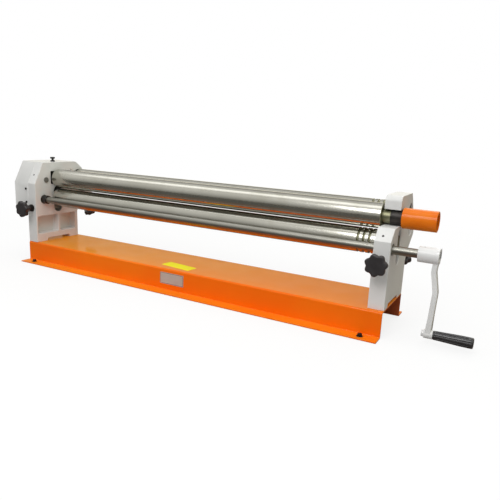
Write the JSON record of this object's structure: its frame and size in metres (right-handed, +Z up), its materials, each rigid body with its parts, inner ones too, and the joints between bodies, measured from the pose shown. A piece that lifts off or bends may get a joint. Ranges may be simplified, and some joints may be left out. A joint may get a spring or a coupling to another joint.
{
  "type": "slip roll machine",
  "caption": "Hand-cranked sheet-metal slip roll: three long steel rolls between two cast housings on a channel base, with star knobs and a swing-out upper roll.",
  "frame": {"origin": "centre of the four bolt holes on the underside of the base flanges", "axes": "+X along the rolls towards the crank, +Y away from the operator, +Z up"},
  "size_m": [1.698, 0.3759, 0.4],
  "materials": {
    "base_paint": "gloss orange enamel",
    "orange_paint": "gloss orange enamel",
    "housing_paint": "semi-gloss light grey enamel",
    "ground_steel": "ground and polished",
    "gear_steel": "machined, oiled",
    "zinc_steel": "zinc plated",
    "blackened_steel": "black oxide",
    "bronze": "machined bearing bronze",
    "cast_iron": "machined cast iron",
    "black_plastic": "moulded thermoset"
  },
  "bodies": {
    "stand": {"base_channel": "base_paint", "housing_bolts": "zinc_steel", "left_housing": "housing_paint", "right_housing": "housing_paint", "gear_cover": "housing_paint", "cover_screws": "blackened_steel", "oil_cup": "black_plastic", "bearing_plug": "blackened_steel", "drive_bush_left": "bronze", "drive_bush_right": "bronze", "front_gland_left": "zinc_steel", "front_gland_right": "zinc_steel"},
    "crank": {"drive_shaft": "ground_steel", "shaft_collar": "blackened_steel", "drive_pinion": "gear_steel", "pinion_end_screw": "zinc_steel", "crank_arm": "housing_paint", "crank_set_screw": "blackened_steel", "grip_spindle": "zinc_steel"},
    "grip": {"crank_grip": "black_plastic"},
    "lower_slide": {"lower_block_left": "bronze", "lower_block_right": "bronze"},
    "lower_roller": {"lower_roll": "ground_steel", "lower_roll_gear": "gear_steel", "lower_drive_gear": "gear_steel", "lower_end_screw": "zinc_steel"},
    "wedge_l": {"wedge_left": "gear_steel"},
    "wedge_r": {"wedge_right": "gear_steel"},
    "front_adjuster_l": {"front_screw_left": "zinc_steel", "front_knob_left": "black_plastic"},
    "front_adjuster_r": {"front_screw_right": "zinc_steel", "front_knob_right": "black_plastic"},
    "rear_slide": {"rear_block_left": "bronze", "rear_block_right": "bronze"},
    "rear_roller": {"rear_roll": "ground_steel"},
    "rear_adjuster_l": {"rear_screw_left": "zinc_steel", "rear_knob_left": "black_plastic"},
    "rear_adjuster_r": {"rear_screw_right": "zinc_steel", "rear_knob_right": "black_plastic"},
    "upper_swing": {"upper_swivel": "cast_iron", "right_bush": "blackened_steel", "release_tube": "orange_paint"},
    "upper_roller": {"upper_roll": "ground_steel", "upper_roll_gear": "gear_steel", "upper_end_screw": "zinc_steel"}
  },
  "joints": [
    {"name": "lower_roll_lift", "type": "slide", "parent": "stand", "child": "lower_slide", "axis": [0, 0, 1], "range_m": [-0.0015, 0.0022]},
    {"name": "lower_roll_spin", "type": "hinge", "parent": "lower_slide", "child": "lower_roller", "pos_m": [0, 0, 0.2435], "axis": [1, 0, 0], "continuous": true},
    {"name": "crank_spin", "type": "hinge", "parent": "stand", "child": "crank", "pos_m": [0, -0.066, 0.24], "axis": [1, 0, 0], "continuous": true},
    {"name": "grip_spin", "type": "hinge", "parent": "crank", "child": "grip", "pos_m": [0.878, -0.066, 0.028], "axis": [1, 0, 0], "continuous": true},
    {"name": "wedge_left_slide", "type": "slide", "parent": "stand", "child": "wedge_l", "axis": [0, 1, 0], "range_m": [-0.0088, 0.006]},
    {"name": "wedge_right_slide", "type": "slide", "parent": "stand", "child": "wedge_r", "axis": [0, 1, 0], "range_m": [-0.0088, 0.006]},
    {"name": "front_knob_left_turn", "type": "hinge", "parent": "stand", "child": "front_adjuster_l", "pos_m": [-0.677, -0.15, 0.208], "axis": [0, 1, 0], "range_deg": [-541, 793]},
    {"name": "front_knob_right_turn", "type": "hinge", "parent": "stand", "child": "front_adjuster_r", "pos_m": [0.677, -0.137, 0.208], "axis": [0, 1, 0], "range_deg": [-541, 793]},
    {"name": "rear_roll_lift", "type": "slide", "parent": "stand", "child": "rear_slide", "axis": [0, -0.4617, 0.887], "range_m": [-0.032, 0.008]},
    {"name": "rear_roll_spin", "type": "hinge", "parent": "rear_slide", "child": "rear_roller", "pos_m": [0, 0.112, 0.315], "axis": [1, 0, 0], "continuous": true},
    {"name": "rear_knob_left_turn", "type": "hinge", "parent": "rear_slide", "child": "rear_adjuster_l", "pos_m": [-0.677, 0.1905, 0.16421], "axis": [0, -0.4617, 0.887], "range_deg": [-2881, 721]},
    {"name": "rear_knob_right_turn", "type": "hinge", "parent": "rear_slide", "child": "rear_adjuster_r", "pos_m": [0.677, 0.1905, 0.16421], "axis": [0, -0.4617, 0.887], "range_deg": [-2881, 721]},
    {"name": "upper_roll_swing", "type": "hinge", "parent": "stand", "child": "upper_swing", "pos_m": [-0.715, 0, 0.3185], "axis": [0, 0, -1], "range_deg": [0, 8]},
    {"name": "upper_roll_spin", "type": "hinge", "parent": "upper_swing", "child": "upper_roller", "pos_m": [0, 0, 0.3185], "axis": [1, 0, 0], "continuous": true}
  ],
  "couplings": [
    {"joint": "upper_roll_spin", "follows": "lower_roll_spin", "ratio": -1},
    {"joint": "crank_spin", "follows": "lower_roll_spin", "ratio": -2.25},
    {"joint": "wedge_left_slide", "follows": "lower_roll_lift", "ratio": -4},
    {"joint": "wedge_right_slide", "follows": "lower_roll_lift", "ratio": -4},
    {"joint": "front_knob_left_turn", "follows": "lower_roll_lift", "rad_per_m": 6283.2},
    {"joint": "front_knob_right_turn", "follows": "lower_roll_lift", "rad_per_m": 6283.2},
    {"joint": "rear_knob_left_turn", "follows": "rear_roll_lift", "rad_per_m": 1570.8},
    {"joint": "rear_knob_right_turn", "follows": "rear_roll_lift", "rad_per_m": 1570.8}
  ]
}
